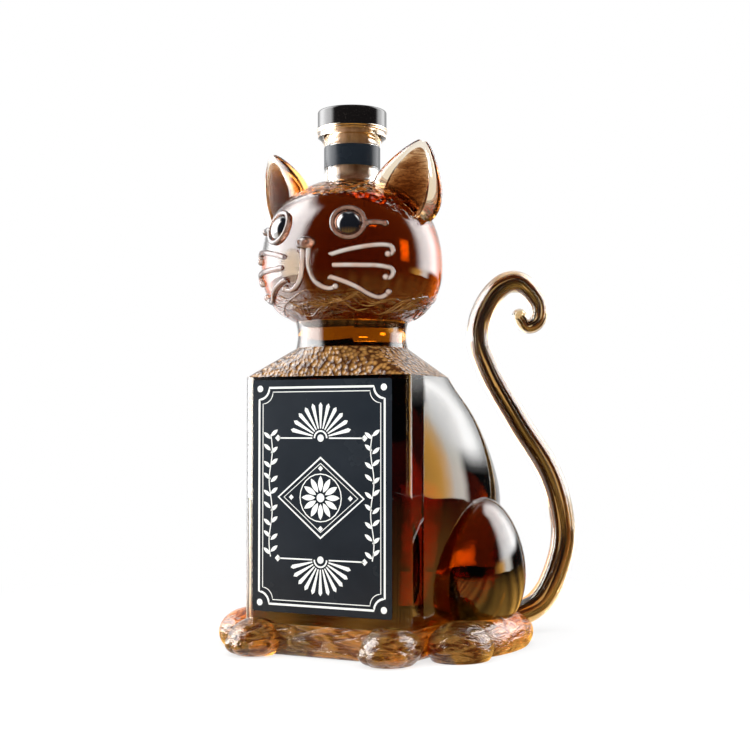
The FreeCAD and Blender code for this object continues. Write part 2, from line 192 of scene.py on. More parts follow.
floor_corners = circle_points(floor_radius, -floor_drop, floor_steps)
floor = link_mesh("floor", floor_corners, [list(range(floor_steps))])
floor_look = bpy.data.materials.new("floor_white")
tree = empty_tree(floor_look)
glow = add_node(tree, "Emission")
matt = add_node(tree, "BsdfDiffuse", Color=floor_matt_colour)
reach = add_node(tree, "VectorMath")
reach.operation = "LENGTH"
tree.links.new(add_node(tree, "TexCoord").outputs["Object"], reach.inputs[0])
fade = add_node(tree, "MapRange", Value=reach.outputs["Value"])
fade.interpolation_type = "SMOOTHSTEP"
set_inputs(tree, fade, From_Min=shadow_full * MM, From_Max=shadow_end * MM)
set_inputs(tree, fade, To_Min=floor_matt_share, To_Max=0)
add_node(tree, "OutputMaterial", Surface=mix_shaders(tree, fade.outputs["Result"], glow, matt))
floor.data.materials.append(floor_look)
print("floor laid")

# %% [markdown]
# The lamps light the matt pieces: print, cork and floor. They are hidden from reflections, because the dome
# in the next step paints those.

# %% Lamps
chest = Vector((0, 10, 120))


def soft_lamp(name, turn, rise, distance, size, power):
    """A square area lamp, turned from the camera's side and aimed at the cat's chest."""
    angle = view_turn + math.radians(turn)
    lift = math.radians(rise)
    level = Vector((math.sin(angle), -math.cos(angle), 0))
    place = chest + (level * math.cos(lift) + UP * math.sin(lift)) * distance
    lamp = bpy.data.lights.new(name, "AREA")
    lamp.size = size * MM
    lamp.energy = power
    lamp_object = bpy.data.objects.new(name, lamp)
    lamp_object.location = place * MM
    lamp_object.rotation_euler = (chest - place).to_track_quat("-Z", "Y").to_euler()
    lamp_object.visible_glossy = False
    lamp_object.visible_camera = False
    lamp_object.visible_transmission = False
    scene.collection.objects.link(lamp_object)


soft_lamp("left_softbox", turn=-62, rise=28, distance=1100, size=700, power=9)
soft_lamp("right_softbox", turn=78, rise=32, distance=1100, size=700, power=5)
soft_lamp("top_softbox", turn=10, rise=80, distance=1000, size=900, power=7)
print("lamps set")

# %% [markdown]
# The studio dome stands round the camera's side, and only reflections and views through glass meet it. Its
# light is a colour on its corners, worked out from two angles in degrees: dark in the middle and overhead, a
# tall soft light at the left, and at the right a gold reflector below a white light. Its two ends blend into
# the white world. A picture of a studio could be wrapped round the scene instead, but angles are easy to tune
# one by one.

# %% Dome light
dome_dark = 0.02
left_light = 13
left_edge = (-78, -60)
left_end = (-146, -108)
left_end_share = 0.2
upper_fade = (50, 66)
right_light = 8
right_edge = (84, 100)
right_rise = (1.5, 6)
right_end = (122, 140)
right_end_share = 0.3
blend_edge = (136, 150)
gold_light = 8
gold_edge = (72, 96)
gold_end = (104, 115)
gold_turn = (90, 101)
gold_colour = (1.0, 0.52, 0.1)
cream_colour = (0.8, 0.77, 0.7)


def smooth_step(low, high, value):
    share = min(max((value - low) / (high - low), 0), 1)
    return share * share * (3 - 2 * share)


def blended(levels, turn):
    """Levels of red, green and blue that go over to plain white at the ends of the set."""
    white_share = smooth_step(*blend_edge, abs(turn))
    return [level + (1 - level) * white_share for level in levels]


def dome_glow(turn, rise):
    """The dome's colour at an angle from the camera's side and an angle above the floor."""
    low = 1 - smooth_step(*upper_fade, rise)
    left_side = left_end_share + (1 - left_end_share) * smooth_step(*left_end, turn)
    right_side = 1 - (1 - right_end_share) * smooth_step(*right_end, turn)
    lifted = smooth_step(*right_rise, rise)
    white = dome_dark + left_light * (1 - smooth_step(*left_edge, turn)) * left_side * low
    white += right_light * smooth_step(*right_edge, turn) * right_side * lifted * low
    gold = gold_light * smooth_step(*gold_edge, turn) * (1 - smooth_step(*gold_end, turn)) * (1 - lifted)
    pale = smooth_step(*gold_turn, turn)
    colours = zip(gold_colour, cream_colour)
    return blended([white + gold * (deep + (cream - deep) * pale) for deep, cream in colours], turn)


print("light at the left:", [round(level, 2) for level in dome_glow(left_edge[0], 0)])

# %% [markdown]
# The dome itself is a grid of corners, with the light's colour stored on each of them and a material that
# glows in that colour. One function makes such a sheet, because the next step needs more of them.

# %% Studio dome
dome_radius = 1500
dome_centre = 100
dome_side = 150
dome_low, dome_high = -3.8, 89
dome_columns = 300
dome_rows = 94


def from_camera_side(turn, radius, z):
    angle = view_turn + math.radians(turn)
    return (radius * math.sin(angle), -radius * math.cos(angle), z)


def glowing_sheet(name, rows, columns, corner_and_glow):
    """A sheet of the set with its own light, from a function of row and column for place and colour."""
    corners = []
    glows = []
    for row in range(rows + 1):
        for column in range(columns + 1):
            corner, colour = corner_and_glow(row, column)
            corners.append(corner)
            glows.append(colour)
    faces = []
    for row in range(rows):
        for column in range(columns):
            first = row * (columns + 1) + column
            above = first + columns + 1
            faces.append((first, first + 1, above + 1, above))
    sheet = link_mesh(name, corners, faces)
    paint = sheet.data.color_attributes.new("glow", "FLOAT_COLOR", "POINT")
    for corner, colour in zip(paint.data, glows):
        corner.color = (*colour, 1)
    look = bpy.data.materials.new(name + "_glow")
    tree = empty_tree(look)
    stored = add_node(tree, "VertexColor")
    stored.layer_name = "glow"
    light = add_node(tree, "Emission", Color=stored.outputs["Color"])
    add_node(tree, "OutputMaterial", Surface=light.outputs[0])
    sheet.data.materials.append(look)
    sheet.visible_camera = False
    sheet.visible_diffuse = False
    sheet.visible_shadow = False
    return sheet


def dome_corner(row, column):
    rise = dome_low + (dome_high - dome_low) * row / dome_rows
    turn = dome_side * (2 * column / dome_columns - 1)
    lift = math.radians(rise)
    z = dome_centre + dome_radius * math.sin(lift)
    return from_camera_side(turn, dome_radius * math.cos(lift), z), dome_glow(turn, rise)


dome = glowing_sheet("studio_dome", dome_rows, dome_columns, dome_corner)
print("studio dome:", len(dome.data.polygons), "faces")

# %% [markdown]
# A card lies on the floor for the same reason: white paper there would cover the dark glass with a grey haze,
# so the card is dark in front, gold with soft stripes near the cat and white only at the left. Three small
# panes behind the cat are met only through the glass, and glow red in the liquor.

# %% Floor card and panes
card_gold = 2.6
card_left = 5
card_rings = [(60, 1, 0), (150, 0.9, 0.2), (300, 0.5, 0.8), (600, 0.2, 1), (1490, 0, 1)]
card_stripe = 18
card_stripe_level, card_stripe_swing = 0.6, 0.4
card_columns = 240
far_pane, near_pane = 1400, 420
pane_steps = 10
pane_softness = 0.5


def card_corner(row, column):
    """Each ring of the card has a radius, a share of gold and a share of the left light."""
    radius, gold_share, left_share = card_rings[row]
    turn = dome_side * (2 * column / card_columns - 1)
    ripple = math.cos(2 * math.pi * turn / card_stripe) * math.cos(turn / card_stripe)
    gold = card_gold * gold_share * (card_stripe_level + card_stripe_swing * ripple)
    white = dome_dark + card_left * left_share * (1 - smooth_step(*left_edge, turn))
    return from_camera_side(turn, radius, 0), blended([white + gold * deep for deep in gold_colour], turn)


def glint_pane(name, turns, rises, light, distance):
    """A soft bright pane behind the cat that only views through glass meet."""

    def pane_corner(row, column):
        up = row / pane_steps
        across = column / pane_steps
        lift = math.radians(rises[0] + (rises[1] - rises[0]) * up)
        turn = turns[0] + (turns[1] - turns[0]) * across
        level = 1 + light * (math.sin(math.pi * up) * math.sin(math.pi * across)) ** pane_softness
        return from_camera_side(turn, distance, dome_centre + distance * math.tan(lift)), [level] * 3

    pane = glowing_sheet(name, pane_steps, pane_steps, pane_corner)
    pane.visible_glossy = False


glowing_sheet("floor_card", len(card_rings) - 1, card_columns, card_corner)
glint_pane("cheek_pane", turns=(-165, -160.5), rises=(2, 8), light=14, distance=far_pane)
glint_pane("side_pane", turns=(-177, -172), rises=(-3, -0.5), light=16, distance=far_pane)
glint_pane("flank_pane", turns=(-180, -168), rises=(-13, -5.5), light=12, distance=near_pane)
print("floor card and panes set")

# %% [markdown]
# ## Shared surface effects
# Hand-made glass is never quite even. A few small effects are built once as node groups and used in many
# materials. A group gives out plain heights and values, and each material decides what they drive. The first
# three are noise: slow waves from blowing, swirls of pulled glass, and the fine grain of print. Noise is
# placed by the object's own coordinates, so it sticks to a piece that moves.

# %% Noise groups


def effect_group(name, output_name, **inputs):
    """An empty node group with named number inputs and one output."""
    group = bpy.data.node_groups.new(name, "ShaderNodeTree")
    for label, value in inputs.items():
        spaced = label.replace("_", " ")
        socket = group.interface.new_socket(spaced, in_out="INPUT", socket_type="NodeSocketFloat")
        socket.default_value = value
    group.interface.new_socket(output_name, in_out="OUTPUT", socket_type="NodeSocketFloat")
    start = group.nodes.new("NodeGroupInput")
    end = group.nodes.new("NodeGroupOutput")
    return group, start.outputs, end.inputs[output_name]


def object_place(tree):
    return add_node(tree, "TexCoord").outputs["Object"]


def add_noise(tree, scale, detail=2.0, distortion=0.0, stretch=None):
    """Noise between 0 and 1. Its scale is a number or a socket, in patches per metre."""
    place = object_place(tree)
    if stretch:
        place = add_node(tree, "Mapping", Vector=place, Scale=stretch).outputs["Vector"]
    noise = add_node(tree, "TexNoise", Vector=place, Scale=scale, Detail=detail, Distortion=distortion)
    return noise.outputs["Fac"]


waves, start, end = effect_group("blown_waves", "Height", Waves_Per_Metre=30.0)
waves.links.new(add_noise(waves, start["Waves Per Metre"], detail=1.5), end)

swirls, start, end = effect_group("pulled_swirls", "Height", Swirls_Per_Metre=70.0)
swirl = add_noise(swirls, start["Swirls Per Metre"], detail=3, distortion=1.4, stretch=(1, 1, 3.5))
swirls.links.new(swirl, end)

grain, start, end = effect_group("print_grain", "Height", Grains_Per_Metre=2600.0)
grain.links.new(add_noise(grain, start["Grains Per Metre"], detail=3), end)
print("noise groups:", [group.name for group in (waves, swirls, grain)])

# %% [markdown]
# The other three are the dimples of a hammered mould, which are round cells, the faint smears of handling
# that change how sharp a reflection is, and a mask between two heights that can droop to the sides.

# %% Dimple, smear and height groups
dimple_blend = 0.35
smear_scale = 55
smear_low, smear_high = 0.42, 0.72

dimples, start, end = effect_group("hammer_dimples", "Height", Dimples_Per_Metre=420.0)
cells = add_node(dimples, "TexVoronoi", Vector=object_place(dimples), Scale=start["Dimples Per Metre"])
cells.feature = "SMOOTH_F1"
cells.inputs["Smoothness"].default_value = dimple_blend
dimples.links.new(cells.outputs["Distance"], end)

smears, start, end = effect_group("handling_smears", "Roughness", Clean=0.0, Smeared=0.05)
touched = add_node(smears, "MapRange", Value=add_noise(smears, smear_scale, detail=5))
set_inputs(smears, touched, From_Min=smear_low, From_Max=smear_high)
set_inputs(smears, touched, To_Min=start["Clean"], To_Max=start["Smeared"])
smears.links.new(touched.outputs["Result"], end)

zone, start, end = effect_group("height_zone", "Mask", Low=0.0, High=0.01, Droop=0.0)
axis = add_node(zone, "SeparateXYZ", Vector=object_place(zone)).outputs
aside = add_math(zone, "MULTIPLY", axis["X"], axis["X"])
lifted = add_math(zone, "MULTIPLY_ADD", aside, start["Droop"], axis["Z"])
fade = add_node(zone, "MapRange", Value=lifted, From_Min=start["Low"], From_Max=start["High"])
fade.interpolation_type = "SMOOTHSTEP"
zone.links.new(fade.outputs["Result"], end)
print("more groups:", [group.name for group in (dimples, smears, zone)])

# %% [markdown]
# ## Glass
# Clear glass is a Principled shader with full transmission, and its slight warm tint is a volume that
# swallows a little light on the way. The tint then deepens by itself wherever the eye looks along the wall,
# which draws the brown outlines of blown glass without painting them. First come the helpers that put effects
# into a material: a group, a ramp or mix of colours, smears and a relief.

# %% Material helpers


def inside(look):
    """A material's node tree and its main shader."""
    return look.node_tree, look.node_tree.nodes["Principled BSDF"]


def new_look(name, **inputs):
    look = bpy.data.materials.new(name)
    look.use_nodes = True
    tree, shader = inside(look)
    set_inputs(tree, shader, **inputs)
    return look, tree, shader


def add_group(tree, group, **inputs):
    """Puts an effect into a material and returns what it gives out."""
    node = add_node(tree, "Group")
    node.node_tree = group
    set_inputs(tree, node, **inputs)
    return node.outputs[0]


def add_ramp(tree, value, low_colour, high_colour, low=0.0, high=1.0):
    """Turns a value into a colour between two colours."""
    ramp = add_node(tree, "ValToRGB", Fac=value)
    for stop, place, colour in zip(ramp.color_ramp.elements, (low, high), (low_colour, high_colour)):
        stop.position = place
        stop.color = (*colour, 1)
    return ramp.outputs["Color"]


def add_mix(tree, share, first, second):
    """Mixes two colours, each a socket or a plain colour."""
    mix = add_node(tree, "Mix")
    mix.data_type = "RGBA"
    set_inputs(tree, mix, Factor=share)
    for label, colour in (("A", first), ("B", second)):
        socket = next(s for s in mix.inputs if s.name == label and s.type == "RGBA")
        give(tree, socket, (*colour, 1) if isinstance(colour, tuple) else colour)
    return next(s for s in mix.outputs if s.type == "RGBA")


def add_smears(tree, shader, clean, smeared):
    set_inputs(tree, shader, Roughness=add_group(tree, smears, Clean=clean, Smeared=smeared))


def add_bump(tree, shader, height, depth):
    """Adds a relief of a depth in millimetres on top of what the shader's normal already has."""
    bump = add_node(tree, "Bump", Distance=depth * MM, Height=height)
    for link in shader.inputs["Normal"].links:
        tree.links.new(link.from_socket, bump.inputs["Normal"])
    tree.links.new(bump.outputs["Normal"], shader.inputs["Normal"])


def turned_over(tree, mask):
    return add_math(tree, "SUBTRACT", 1, mask)


print("material helpers ready")

# %% [markdown]
# One function makes every clear or tinted glass here. It takes how fast the glass swallows red, green and
# blue. Blue goes fastest, so thick glass turns amber. A slow wave in the surface bends reflections a little,
# as in blown glass.

# %% Glass materials
glass_ior = 1.5
glass_smear = 0.012
wall_wave = 0.15
body_swallow = (14, 36, 75)


def glass_look(name, swallow, wave_depth=0.0, ior=glass_ior, shine=None):
    """Clear or coloured glass. Swallow is how fast it takes red, green and blue, per metre.
    Shine is its share of a plain reflection. Left out, each face loses what its dull value says."""
    look, tree, shader = new_look(name, Base_Color=plain_white, Transmission_Weight=1, IOR=ior)
    if shine is None:
        add_smears(tree, shader, 0.0, glass_smear)
        dull = add_node(tree, "Attribute")
        dull.attribute_name = "dull"
        set_inputs(tree, shader, Specular_Tint=turned_over(tree, dull.outputs["Fac"]))
    else:
        set_inputs(tree, shader, Roughness=0, Specular_Tint=(shine, shine, shine, 1))
    if wave_depth:
        add_bump(tree, shader, add_group(tree, waves), wave_depth)
    density = max(swallow)
    passed = (*[1 - share / density for share in swallow], 1)
    absorb = add_node(tree, "VolumeAbsorption", Color=passed, Density=density)
    set_inputs(tree, tree.nodes["Material Output"], Volume=absorb.outputs["Volume"])
    return look


clear_glass = glass_look("clear_glass", (4, 9, 18), wall_wave)
body_glass = glass_look("body_glass", body_swallow, wall_wave)
cane_glass = glass_look("cane_glass", (70, 150, 300))
print("glass looks made")

# %% [markdown]
# Some glasses need more than a tint. The head is clear in front, but its crown above the liquor is dimpled
# and golden and its chin has brown swirls, so height masks blend the colours and reliefs. The shoulder is
# hammered all over and scatters light, so only part of it lets light through.

# %% Head and shoulder glass
crown_low, crown_high = 201.0, 203.0
crown_droop = 8
chin_low, chin_high = 151.0, 163.0
crown_dimples = 330
shoulder_dimples = 520
dimple_depth = 0.5
chin_depth = 2.6
shoulder_transmission = 0.4

head_glass = glass_look("head_glass", body_swallow, wall_wave)
tree, shader = inside(head_glass)
crown = add_group(tree, zone, Low=crown_low * MM, High=crown_high * MM, Droop=crown_droop)
chin = turned_over(tree, add_group(tree, zone, Low=chin_low * MM, High=chin_high * MM))
cells = add_group(tree, dimples, Dimples_Per_Metre=crown_dimples)
swirl = add_group(tree, swirls)
gold = add_ramp(tree, cells, (1.0, 0.7, 0.34), (0.5, 0.22, 0.06), 0.1, 0.7)
brown = add_ramp(tree, swirl, (0.5, 0.24, 0.09), (1.0, 0.8, 0.52), 0.4, 0.6)
tone = add_mix(tree, chin, (1, 1, 1), brown)
set_inputs(tree, shader, Base_Color=add_mix(tree, crown, tone, gold))
add_bump(tree, shader, add_math(tree, "MULTIPLY", crown, cells), dimple_depth)
add_bump(tree, shader, add_math(tree, "MULTIPLY", chin, swirl), chin_depth)

hammered_glass = glass_look("hammered_glass", body_swallow)
tree, shader = inside(hammered_glass)
cells = add_group(tree, dimples, Dimples_Per_Metre=shoulder_dimples)
bronze = add_ramp(tree, cells, (0.72, 0.36, 0.1), (0.1, 0.035, 0.01), 0.1, 0.7)
set_inputs(tree, shader, Transmission_Weight=shoulder_transmission, Base_Color=bronze)
add_bump(tree, shader, cells, dimple_depth)
print("head and shoulder glass made")

# %% [markdown]
# The face threads are milky rods. A thick rod of glass bends light away at its sides, so it looks dark there.
# That dark edge is painted shade: the angle between the eye and the surface mixes a dark edge colour into the
# thread's colour, which draws each thread on light and dark glass alike.

# %% Thread glass
thread_swallow = (20, 60, 90)
thread_clouds = 260
shade_edge_start, shade_edge_full = 0.06, 0.4


def thread_look(name, low_colour, high_colour, shade_edge_colour, transmission):
    """A rod of milky glass with painted shade that darkens it towards its edges."""
    look = glass_look(name, thread_swallow)
    tree, shader = inside(look)
    milk = add_group(tree, waves, Waves_Per_Metre=thread_clouds)
    tone = add_ramp(tree, milk, low_colour, high_colour, 0.35, 0.65)
    # Painted shade: towards its edges the thread's colour goes over to the dark edge colour.
    facing = add_node(tree, "LayerWeight").outputs["Facing"]
    edge = add_node(tree, "MapRange", Value=facing, From_Min=shade_edge_start, From_Max=shade_edge_full)
    colour = add_mix(tree, edge.outputs["Result"], tone, shade_edge_colour)
    set_inputs(tree, shader, Transmission_Weight=transmission, Base_Color=colour)
    return look


# The third colour of each thread is its painted edge shade.
whisker_glass = thread_look("whisker_glass", (0.95, 0.72, 0.6), (1.0, 0.93, 0.86), (0.12, 0.04, 0.025), 0.5)
strand_glass = thread_look("strand_glass", (0.45, 0.17, 0.04), (1.0, 0.56, 0.16), (0.2, 0.06, 0.015), 0.7)
rim_glass = thread_look("rim_glass", (0.6, 0.3, 0.2), (0.9, 0.6, 0.46), (0.08, 0.03, 0.02), 0.75)
print("thread glass made")

# %% [markdown]
# The ears hold streaky amber, and the paws and the base are gold with brown swirls. Amber in the ears and the
# pads beside the nose bend light only a little, so the soft lights leave no haze on them.

# %% Ear, pad, paw and base glass
soft_ior = 1.1
ear_streaks = 160
swirl_wave = 0.5
swirl_transmission = 0.86
swirl_depth = 0.9

pad_glass = glass_look("pad_glass", body_swallow, ior=soft_ior)
amber_glass = glass_look("amber_glass", (380, 600, 860), ior=soft_ior, shine=0)
tree, shader = inside(amber_glass)
streaks = add_group(tree, swirls, Swirls_Per_Metre=ear_streaks)
amber = add_ramp(tree, streaks, (0.4, 0.24, 0.14), (1.0, 0.86, 0.7), 0.38, 0.62)
set_inputs(tree, shader, Base_Color=amber)


def swirled_look(name, swallow, swirls_per_metre):
    """Gold glass with brown swirls, which lets most light through."""
    look = glass_look(name, swallow, swirl_wave)
    tree, shader = inside(look)
    swirl = add_group(tree, swirls, Swirls_Per_Metre=swirls_per_metre)
    colour = add_ramp(tree, swirl, (0.22, 0.085, 0.015), (1.0, 0.64, 0.17), 0.4, 0.6)
    set_inputs(tree, shader, Transmission_Weight=swirl_transmission, Base_Color=colour)
    add_bump(tree, shader, swirl, swirl_depth)
    return look


paw_glass = swirled_look("paw_glass", (22, 50, 150), 110)
base_glass = swirled_look("base_glass", (5, 14, 45), 90)
print("ear, pad, paw and base glass made")

# %% [markdown]
# Each glass node keeps its CAD shape and takes a look. Glass pieces that are fused together share a face, and
# two faces in one place confuse a ray of light. A hair of thickness on the smaller piece sinks it into the
# larger one, so the light always meets one surface and then the other.

# %% Dress the glass nodes
sink = 0.06


def dress(names, look, thicken=0.0):
    for name in names:
        piece = nodes[name]
        piece.data.materials.clear()
        piece.data.materials.append(look)
        if thicken:
            swell = piece.modifiers.new("fused_on", "DISPLACE")
            swell.strength = thicken * MM
            swell.mid_level = 0


def both(*names):
    return [side + "_" + name for name in names for side in ("left", "right")]


dress(["neck_spout"], clear_glass)
dress(["torso_shell"], body_glass)
dress(["head_bulb"], head_glass)
dress(["base_slab"], base_glass)
dress(["tail_casing"], clear_glass, sink)
dress(["collar_ring"] + both("haunch", "ear"), body_glass, sink)
dress(both("muzzle_pad"), pad_glass, sink)
dress(["shoulder_cape"], hammered_glass, sink)
dress(both("ear_inlay"), amber_glass, sink)
dress(["tail_core"], cane_glass, sink)
dress(both("front_paw", "hind_paw"), paw_glass, sink)
dress(both("mouth_thread", "whisker_upper", "whisker_middle", "whisker_lower"), whisker_glass, sink)
dress(["nose"] + both("eye_ring", "eye_corner"), rim_glass, sink)
print("glass nodes dressed")

# %% [markdown]
# A value on each face, called dull, says how much of its reflection it loses. Wetted faces lose all of it,
# because liquor bends light nearly as much as glass does. A second material would not do there: light has to
# leave a glass by the material that it came in by, or the glass goes on swallowing it. The flask's flat sides
# are dull too, or they would mirror one light all over.

# %% Dull faces
liquor_level = 202.0
haunch_centre = (49.5, 34.0, 37.5)
torso_middle_y = 8
base_middle = (0, 10, 100)
least_inward = 0.15
least_sideways = 0.999
flat_side_dull = 0.8
shoulder_dull = 0.6


def wet_inside(name, middle, level_only=True):
    """Makes the faces dull that look towards the middle of a vessel, below the liquor's level."""
    mesh = nodes[name].data
    dull = mesh.attributes.new("dull", "FLOAT", "FACE").data
    for face in mesh.polygons:
        centre = face.center / MM
        inward = Vector(middle) - centre
        if level_only:
            inward.z = 0
        if face.normal.dot(inward.normalized()) > least_inward and centre.z < liquor_level:
            dull[face.index].value = 1
    print(name, "wetted faces:", sum(1 for share in dull if share.value))


wet_inside("torso_shell", (0, torso_middle_y, 0))
for name in ("shoulder_cape", "collar_ring", "head_bulb"):
    wet_inside(name, (0, 0, 0))
wet_inside("left_haunch", haunch_centre, False)
wet_inside("right_haunch", (-haunch_centre[0], *haunch_centre[1:]), False)
wet_inside("base_slab", base_middle, False)
dull_outsides = (("torso_shell", least_sideways, flat_side_dull), ("shoulder_cape", 0, shoulder_dull))
for name, least, share in dull_outsides:
    dull = nodes[name].data.attributes["dull"].data
    for face in nodes[name].data.polygons:
        if abs(face.normal.x) >= least and not dull[face.index].value:
            dull[face.index].value = share

# %% [markdown]
# ## The liquor
# The liquor fills the cat up to its forehead. It is one closed body that reaches a hair into the glass all
# round, because a thin gap of air there would shine like silver. Its colour is only a volume: gold where it
# is thin, red further in and nearly black through the whole chest. Its lower part follows the torso, whose
# width and depth change with height along a smooth curve.

# %% Torso profile
torso_profile = [
    (0.00, 0.870, 0.860),
    (0.16, 0.930, 0.930),
    (0.34, 0.985, 0.985),
    (0.50, 1.000, 1.000),
    (0.64, 0.980, 0.910),
    (0.76, 0.945, 0.785),
    (0.88, 0.890, 0.610),
    (1.00, 0.800, 0.420),
]


def profile_at(share):
    """The shares of width and depth at a share of the torso's height, on a curve through the table."""
    last = len(torso_profile) - 1
    row = max(i for i in range(last) if torso_profile[i][0] <= share or i == 0)
    low, high = torso_profile[row], torso_profile[row + 1]
    before, after = torso_profile[max(row - 1, 0)], torso_profile[min(row + 2, last)]
    span = high[0] - low[0]
    t = (share - low[0]) / span
    values = []
    for i in (1, 2):
        slope_low = (high[i] - before[i]) / (high[0] - before[0]) * span
        slope_high = (after[i] - low[i]) / (after[0] - low[0]) * span
        values.append(
            low[i] * (2 * t**3 - 3 * t**2 + 1)
            + slope_low * (t**3 - 2 * t**2 + t)
            + high[i] * (3 * t**2 - 2 * t**3)
            + slope_high * (t**3 - t**2)
        )
    return values


print("torso halfway up:", [round(value, 3) for value in profile_at(0.5)])

# %% [markdown]
# Seen from above, the torso is a flask with a flat front and round corners that runs into a wide, full rump.
# Its outline is six edges in a row, each with a fixed number of points, so that every ring has as many.

# %% Torso outline
flask_half_width = 41.5
flask_front = 28.0
flask_corner = 6.5
crease_y = -11.0
rump_half_width = 50.0
rump_depth = 88.0
rump_fullness = 2.8
rump_widest = 0.4
flank_share = 0.25
edge_counts = (24, 6, 6, 72, 6, 6)


def torso_ring(share, inset):
    """The torso's outline at a share of its height, from one end of the flat front round to it again."""
    width, depth = profile_at(share)
    half = flask_half_width - inset
    front = inset - flask_front
    radius = flask_corner - inset
    back = rump_depth * depth - inset
    rump = rump_half_width * width - inset
    widest = crease_y + (back - crease_y) * rump_widest
    flat = half - radius

    def corner(side, t):
        turn = t * math.pi / 2
        return (side * (flat + radius * math.sin(turn)), front + radius - radius * math.cos(turn))

    def rear(t):
        if t < flank_share:
            part = t / flank_share
            x = half + (rump - half) * math.sin(part * math.pi / 2)
            return (x, crease_y + (widest - crease_y) * part)
        if t > 1 - flank_share:
            x, y = rear(1 - t)
            return (-x, y)
        turn = (t - flank_share) / (1 - 2 * flank_share) * math.pi
        x = math.copysign(abs(math.cos(turn)) ** (2 / rump_fullness), math.cos(turn)) * rump
        return (x, widest + (back - widest) * max(math.sin(turn), 0) ** (2 / rump_fullness))

    edges = [
        lambda t: (-flat + 2 * flat * t, front),
        lambda t: corner(1, t),
        lambda t: (half, front + radius + (crease_y - front - radius) * t),
        rear,
        lambda t: (-half, crease_y + (front + radius - crease_y) * t),
        lambda t: corner(-1, 1 - t),
    ]
    return [edge(step / count) for edge, count in zip(edges, edge_counts) for step in range(count)]


print("points in the torso's outline:", len(torso_ring(0, 0)))

# %% [markdown]
# Above the torso the liquor narrows through the shoulder and the collar, and widens again in the head. Those
# parts are round, and their circles share out their points as the torso's outline does, so that every ring
# can be joined to the next.

# %% Liquor rings
base_top = 14.0
torso_top = 123.0
shoulder_top = 136.0
torso_wall = 3.0
collar_bore = 22.0
collar_angles = (-42, 42, 56, 74, 286, 304, 318)
head_radius = 41.2
head_crown_height = 41.0
head_chin_height = 29.0
head_fullness = 2.3
head_wall = 2.6
head_centre = 172.34
liquor_reach = 0.3
torso_rows = 40
head_rows = 40


def round_ring(radius):
    """A circle with its points shared out as on the torso's outline."""
    points = []
    for first, last, count in zip(collar_angles, collar_angles[1:], edge_counts):
        for step in range(count):
            turn = math.radians(first + (last - first) * step / count)
            points.append((radius * math.sin(turn), -radius * math.cos(turn)))
    return points


def at_height(ring, z):
    return [(x, y, z) for x, y in ring]


def full_curve(share):
    """The height of a full, rounded arch at a share of its half width, or the other way round."""
    return (1 - abs(share) ** head_fullness) ** (1 / head_fullness)


rings = []
for row in range(torso_rows + 1):
    share = row / torso_rows
    z = base_top - liquor_reach if row == 0 else base_top + (torso_top - base_top) * share
    rings.append(at_height(torso_ring(share, torso_wall - liquor_reach), z))
rings.append(at_height(round_ring(collar_bore + liquor_reach), shoulder_top))
inner_radius = head_radius - head_wall + liquor_reach
inner_chin = head_chin_height - head_wall + liquor_reach
inner_crown = head_crown_height - head_wall + liquor_reach
bowl_start = head_centre - inner_chin * full_curve(collar_bore / inner_radius)
for row in range(head_rows + 1):
    z = bowl_start + (liquor_level - bowl_start) * row / head_rows
    height = inner_crown if z > head_centre else inner_chin
    rings.append(at_height(round_ring(inner_radius * full_curve((z - head_centre) / height)), z))
print("liquor rings:", len(rings))

# %% [markdown]
# The haunches are hollow eggs that open into the torso, so the liquor runs into them. An egg is a row of
# rings too, and one helper makes a closed body from any such row.

# %% Haunch liquor
haunch_inner_halves = (15.1, 26.1, 28.6)
haunch_taper = 0.14
egg_rows = 28
egg_steps = 56
egg_tip = 0.02


def skin(rings):
    """Corners and faces of a closed body through rings of equal length."""
    count = len(rings[0])
    corners = [point for ring in rings for point in ring]
    faces = [list(reversed(range(count)))]
    for row in range(len(rings) - 1):
        for step in range(count):
            here = row * count + step
            beside = row * count + (step + 1) % count
            faces.append((here, beside, beside + count, here + count))
    faces.append(list(range(len(corners) - count, len(corners))))
    return corners, faces


def egg_rings(side):
    half_x, half_y, half_z = (half + liquor_reach for half in haunch_inner_halves)
    rings = []
    for row in range(egg_rows + 1):
        turn = math.pi * (1 - (row + egg_tip) / (egg_rows + 2 * egg_tip))
        radius = math.sin(turn) * (1 - haunch_taper * math.cos(turn))
        ring = []
        for step in range(egg_steps):
            around = 2 * math.pi * step / egg_steps
            x = side * haunch_centre[0] + half_x * radius * math.cos(around)
            y = haunch_centre[1] + half_y * radius * math.sin(around)
            ring.append((x, y, haunch_centre[2] + half_z * math.cos(turn)))
        rings.append(ring)
    return rings


print("rings in each haunch:", len(egg_rings(1)))

# %% [markdown]
# A Boolean joins the two eggs to the main body. Before that, each one is cut along the thick base, which
# holds no liquor. The exact solver is slower than the fast one, but it copes with faces that nearly touch.

# %% Liquor body
cutter_bottom = -1
liquor_ior = 1.36
liquor_sharp = math.radians(35)


def combine(piece, other, operation):
    """Joins or cuts a piece with another, applies the result and removes the other."""
    change = piece.modifiers.new("combine", "BOOLEAN")
    change.operation = operation
    change.object = other
    change.solver = "EXACT"
    bpy.context.view_layer.update()
    done = piece.evaluated_get(bpy.context.evaluated_depsgraph_get())
    mesh = bpy.data.meshes.new_from_object(done)
    piece.modifiers.clear()
    piece.data = mesh
    bpy.data.objects.remove(other)


liquor = link_mesh("liquor", *skin(rings))
slab_ring = torso_ring(0, liquor_reach)
slab_rings = [at_height(slab_ring, z) for z in (cutter_bottom, base_top - liquor_reach)]
for side in (1, -1):
    egg = link_mesh("haunch_liquor", *skin(egg_rings(side)))
    combine(egg, link_mesh("slab_cutter", *skin(slab_rings)), "DIFFERENCE")
    combine(liquor, egg, "UNION")
liquor.data.shade_smooth()
liquor.data.set_sharp_from_angle(angle=liquor_sharp)
liquor.data.materials.append(glass_look("amber_liquor", (38, 70, 165), ior=liquor_ior, shine=0))
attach(liquor, "bottle")
print("liquor:", len(liquor.data.polygons), "faces")

